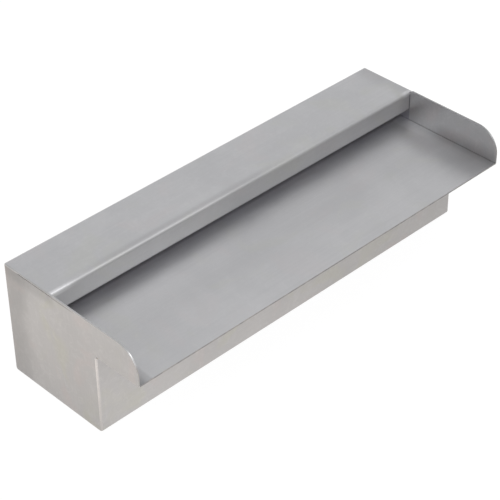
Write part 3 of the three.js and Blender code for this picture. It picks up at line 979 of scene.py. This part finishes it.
def inlet_nipple():
    step = THREAD_PITCH / THREAD_STEPS
    rows = [NIPPLE_INSIDE, NIPPLE_MOUTH - THREAD_LENGTH - THREAD_PITCH]
    while rows[-1] + step < NIPPLE_MOUTH - step / 2:
        rows.append(rows[-1] + step)
    rows.append(NIPPLE_MOUTH)
    bore = [
        (NIPPLE_MOUTH, INLET_BORE + BORE_CHAMFER),
        (NIPPLE_MOUTH - BORE_CHAMFER, INLET_BORE),
        (NIPPLE_INSIDE + BORE_CHAMFER, INLET_BORE),
        (NIPPLE_INSIDE, INLET_BORE + BORE_CHAMFER),
    ]
    bm = bmesh.new()
    angles = [2 * math.pi * i / ROUND_STEPS for i in range(ROUND_STEPS)]

    def ring(y, radii):
        points = []
        for angle, radius in zip(angles, radii):
            z = INLET_HEIGHT + radius * math.sin(angle)
            points.append(bm.verts.new((radius * math.cos(angle), y, z)))
        return points

    rings = [ring(y, [thread_radius(y, a) for a in angles]) for y in rows]
    rings += [ring(y, [radius] * ROUND_STEPS) for y, radius in bore]
    for here, there in zip(rings, [*rings[1:], rings[0]]):
        for i, vertex in enumerate(here):
            j = (i + 1) % ROUND_STEPS
            bm.faces.new((vertex, there[i], there[j], here[j]))
    bmesh.ops.recalc_face_normals(bm, faces=bm.faces)
    return mesh_from(bm, "inlet_pipe")


# ---- Assembly ----

add_camera()

# Pale partly as a painted highlight along the ground beads.
GROUND_COLOURS = (GROUND_SHADE, GROUND_STEEL)
FLUSH_COLOURS = (grey(0.58), grey(0.63))
# The dressed rims are painted pale so that their arcs show a painted glint.
DRESSED_GLINT_COLOURS = (grey(0.70), grey(0.78))
CUT_COLOURS = (CUT_SHADE, CUT_STEEL)
CREVICE_COLOURS = (CREVICE_SHADE, CREVICE_STEEL)
FINE_SCUFF = 0.006 * MM
COARSE_SCUFF = 0.012 * MM

materials = {
    "cover": brushed_steel("brushed_cover", GRAIN_LONG, 0.38, 0.25, cover_shade, cover_polish_and_glint),
    "plate": brushed_steel("brushed_plate", GRAIN_LONG, 0.34, 0.20, plate_shade),
    "channel": brushed_steel("brushed_channel", GRAIN_LONG, 0.34, 0.45, even_shade),
    "end": brushed_steel("brushed_end", GRAIN_UPRIGHT, 0.38, 0.50, end_shade),
    "ground": worked_metal("ground_weld", GROUND_COLOURS, 60, 0.17, FINE_SCUFF, bead_painted_shade),
    "flush": worked_metal("flush_weld", FLUSH_COLOURS, 60, 0.34, FINE_SCUFF),
    "dressed": worked_metal("dressed_edge_glint", DRESSED_GLINT_COLOURS, 90, 0.19, FINE_SCUFF, rim_painted_light),
    "cut": worked_metal("cut_edge", CUT_COLOURS, 120, 0.50, COARSE_SCUFF),
    "mill": mill_finish_painted_shade(),
    "crevice": worked_metal("crevice", CREVICE_COLOURS, 120, 0.60, COARSE_SCUFF),
    "raw": raw_weld(),
    "turned": turned_steel(),
}


def faces_out_of_sheet(centre, normal):
    """The rim of an end plate, which looks across X."""
    return abs(normal.x) < 0.5


def on_lip_or_foot(centre, normal):
    """The spill plate's two long cut edges."""
    at_lip = normal.y < -0.8 and centre.y < LIP + EDGE_ROUND
    return at_lip or (normal.z < -0.8 and centre.z < PLATE_FOLD_FOOT + EDGE_ROUND)


def in_cavity(centre, normal):
    """The faces that look into the box, behind the flange: the sheet is as rolled there."""
    slack = PANEL_BOW + 0.01 * MM
    across = FLANGE_FACE + SHEET - slack < centre.y or centre.z < PLATE_UNDERSIDE
    lengthways = FRONT_INSIDE - slack < centre.y < REAR_INSIDE + slack
    upright = SHEET - slack < centre.z < COVER_UNDERSIDE + slack
    return across and lengthways and upright and abs(centre.x) < END_INSIDE + slack


def on_flange_edge(centre, normal):
    return normal.z < -0.8 and centre.z < FLANGE_BOTTOM + EDGE_ROUND


add_piece(
    "channel_sheet", body_channel(), materials["channel"], "body_channel",
    parts=[(materials["mill"], in_cavity)],
)
add_piece(
    "spill_sheet", spill_plate(), materials["plate"], "spill_plate",
    parts=[(materials["cut"], on_lip_or_foot)],
)
add_piece(
    "cover_sheet", top_cover(), materials["cover"], "top_cover",
    parts=[(materials["mill"], in_cavity), (materials["cut"], on_flange_edge)],
)
add_piece("diffuser_sheet", flow_diffuser(), materials["mill"], "flow_diffuser")
add_piece(
    "inlet_pipe", inlet_nipple(), materials["turned"], "inlet_nipple",
    flats=False,
)
inlet_ring("ring_outside", "weld_inlet_outside", REAR, 1, 6.1)
inlet_ring("ring_inside", "weld_inlet_inside", REAR_INSIDE, -1, 8.3)
cover_rear_bead()
fillet_bead(
    "fillet_under_lip", "weld_under_lip",
    Vector((-END_INSIDE, FRONT, PLATE_UNDERSIDE)), Vector((END_INSIDE, FRONT, PLATE_UNDERSIDE)),
    -AXIS_Y, -AXIS_Z, FILLET_LEG, 2.2,
)


def add_end(hand, side):
    """One end plate with all its beads and the tacks on its half of the diffuser."""
    add_piece(
        f"{hand}_end_sheet", end_plate(side), materials["end"], f"{hand}_end_plate",
        parts=[(materials["mill"], in_cavity), (materials["dressed"], faces_out_of_sheet)],
    )
    base_bead(hand, side, 10.5 + side)
    outward = AXIS_X * side

    def at_end(y, z):
        return Vector((side * END_INSIDE, y, z))

    seed = 3 + 2 * side
    front = at_end(FRONT_INSIDE, BEND_OUTER), at_end(FRONT_INSIDE, PLATE_TOP)
    rear = at_end(REAR_INSIDE, BEND_OUTER), at_end(REAR_INSIDE, COVER_UNDERSIDE)
    top = at_end(SEAM_FRONT, COVER_UNDERSIDE), at_end(REAR_INSIDE, COVER_UNDERSIDE)
    lip = at_end(LIP, PLATE_TOP), at_end(FRONT, PLATE_TOP)
    ground_bead(hand, "front", *front, outward, -AXIS_Y, seed + 0.1, "ground")
    ground_bead(hand, "rear", *rear, outward, AXIS_Y, seed + 0.3, "ground")
    ground_bead(hand, "lip", *lip, outward, -AXIS_Z, seed + 0.5, "flush")
    top_bead(hand, *top, outward, seed + 0.7)
    for place, a, b in (("plate", AXIS_Y, AXIS_Z), ("wall", -AXIS_Z, -AXIS_Y)):
        node = f"tack_diffuser_{place}_{hand}"
        low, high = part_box(node)
        y = low.y if place == "plate" else high.y
        z = low.z if place == "plate" else high.z
        ends = Vector((low.x, y, z)), Vector((high.x, y, z))
        fillet_bead(f"tack_{place}_{hand}", node, *ends, a, b, TACK_LEG, seed + 0.9)


add_end("left", -1)
add_end("right", 1)

# ---- Stage ----

FLOOR_SIZE = 14.0
FLOOR_SEEN = 0.90  # the floor's own glow where the camera sees it
FLOOR_WARM = (1.025, 0.980, 0.940, 1)
FLOOR_WARMER = (1.035, 0.980, 0.925, 1)
FLOOR_MATT = grey(0.16)
FLOOR_LEFT, FLOOR_RIGHT = 0.86, 0.63  # what the steel sees of it, to each side of the object
FLOOR_FADE = (-0.22, 0.25)  # the stretch along X where the one turns into the other
WARMTH_FADE = (-0.27, -0.20)  # and where the warmer colour turns into the other one
# A painted shadow: the floor's glow is darker close beside the left end.
FLOOR_SHADE = 0.16  # how much less of it there is close beside the left end
FLOOR_SHADE_REACH = 85 * MM
WORLD_SEEN = 1.05
WORLD_AROUND = (1.0, 1.0, 1.012, 1)
WORLD_LEVEL = 0.765
WORLD_GLOWS = (  # azimuth, elevation, reach in degrees and added level of each brighter part
    (-44, 37, 48, 0.75),
    (-136, 37, 48, -0.18),
    (50, 37, 40, -0.14),
)
WHITE = grey(1)


def seen_by_camera(tree, seen, other):
    """One shader where the camera looks at the stage itself, and another for all other light."""
    is_seen = put(tree, "LightPath").outputs["Is Camera Ray"]
    return put(tree, "MixShader", {0: is_seen, 1: other, 2: seen}).outputs[0]


def add_floor():
    bm = bmesh.new()
    bmesh.ops.create_grid(bm, x_segments=8, y_segments=8, size=FLOOR_SIZE / 2)
    mesh = mesh_from(bm, "floor")
    floor = bpy.data.objects.new("floor", mesh)
    material = bpy.data.materials.new("pale_floor")
    material.use_nodes = True
    tree = material.node_tree
    tree.nodes.clear()
    x = put(tree, "SeparateXYZ", {0: put(tree, "TexCoord").outputs["Object"]}).outputs[0]
    # The glow that the steel sees is a painted gradient of light, with a painted shadow beside the
    # left end.
    glow = remap(tree, x, *FLOOR_FADE, FLOOR_LEFT, FLOOR_RIGHT)
    beside = near(tree, math_node(tree, "SUBTRACT", -END, x), 0, FLOOR_SHADE_REACH)
    glow = darker(tree, glow, FLOOR_SHADE, beside, near(tree, x, -END, -END + 25 * MM))
    colour = colour_mix(tree, near(tree, x, *WARMTH_FADE), FLOOR_WARM, FLOOR_WARMER)
    warm = put(tree, "Emission", {"Color": colour, "Strength": glow})
    white = put(tree, "Emission", {"Color": WHITE, "Strength": FLOOR_SEEN})
    matt = put(tree, "BsdfDiffuse", {"Color": FLOOR_MATT})
    pale = put(tree, "AddShader", {0: white.outputs[0], 1: matt.outputs[0]})
    top = seen_by_camera(tree, pale.outputs[0], warm.outputs[0])
    is_underneath = put(tree, "NewGeometry").outputs["Backfacing"]
    clear = put(tree, "BsdfTransparent").outputs[0]
    surface = put(tree, "MixShader", {0: is_underneath, 1: top, 2: clear}).outputs[0]
    tree.links.new(surface, put(tree, "OutputMaterial").inputs["Surface"])
    mesh.materials.append(material)
    bpy.context.scene.collection.objects.link(floor)


def set_world():
    world = bpy.data.worlds.new("studio")
    world.use_nodes = True
    tree = world.node_tree
    tree.nodes.clear()
    white = put(tree, "Background", {"Color": WHITE, "Strength": WORLD_SEEN})
    towards = put(tree, "TexCoord").outputs["Generated"]
    level = WORLD_LEVEL
    for azimuth, elevation, reach, added in WORLD_GLOWS:
        centre = direction(math.radians(azimuth), math.radians(elevation))
        inputs = {0: towards, 1: centre}
        nearness = put(tree, "VectorMath", inputs, operation="DOT_PRODUCT").outputs["Value"]
        glow = remap(tree, nearness, math.cos(math.radians(reach)), 1.0, 0.0, added)
        level = math_node(tree, "ADD", glow, level)
    around = put(tree, "Background", {"Color": WORLD_AROUND, "Strength": level})
    surface = seen_by_camera(tree, white.outputs[0], around.outputs[0])
    tree.links.new(surface, put(tree, "OutputWorld").inputs["Surface"])
    bpy.context.scene.world = world


def add_light(name, azimuth, elevation, distance, width, height, radiance):
    """A soft upright light that faces the object, as bright as radiance all over."""
    data = bpy.data.lights.new(name, "AREA")
    data.shape = "RECTANGLE"
    data.size = width
    data.size_y = height
    data.energy = radiance * math.pi * width * height
    light = bpy.data.objects.new(name, data)
    back = direction(math.radians(azimuth), math.radians(elevation))
    light.location = back * distance
    light.rotation_mode = "QUATERNION"
    light.rotation_quaternion = back.to_track_quat("Z", "Y")
    bpy.context.scene.collection.objects.link(light)


add_floor()
set_world()
add_light("window_light", 30, 46.8, 0.878, 0.22, 0.30, 2.2)
add_light("far_light", 44, 34, 3.0, 0.26, 0.42, 2.0)
bpy.context.scene.view_settings.view_transform = "Standard"
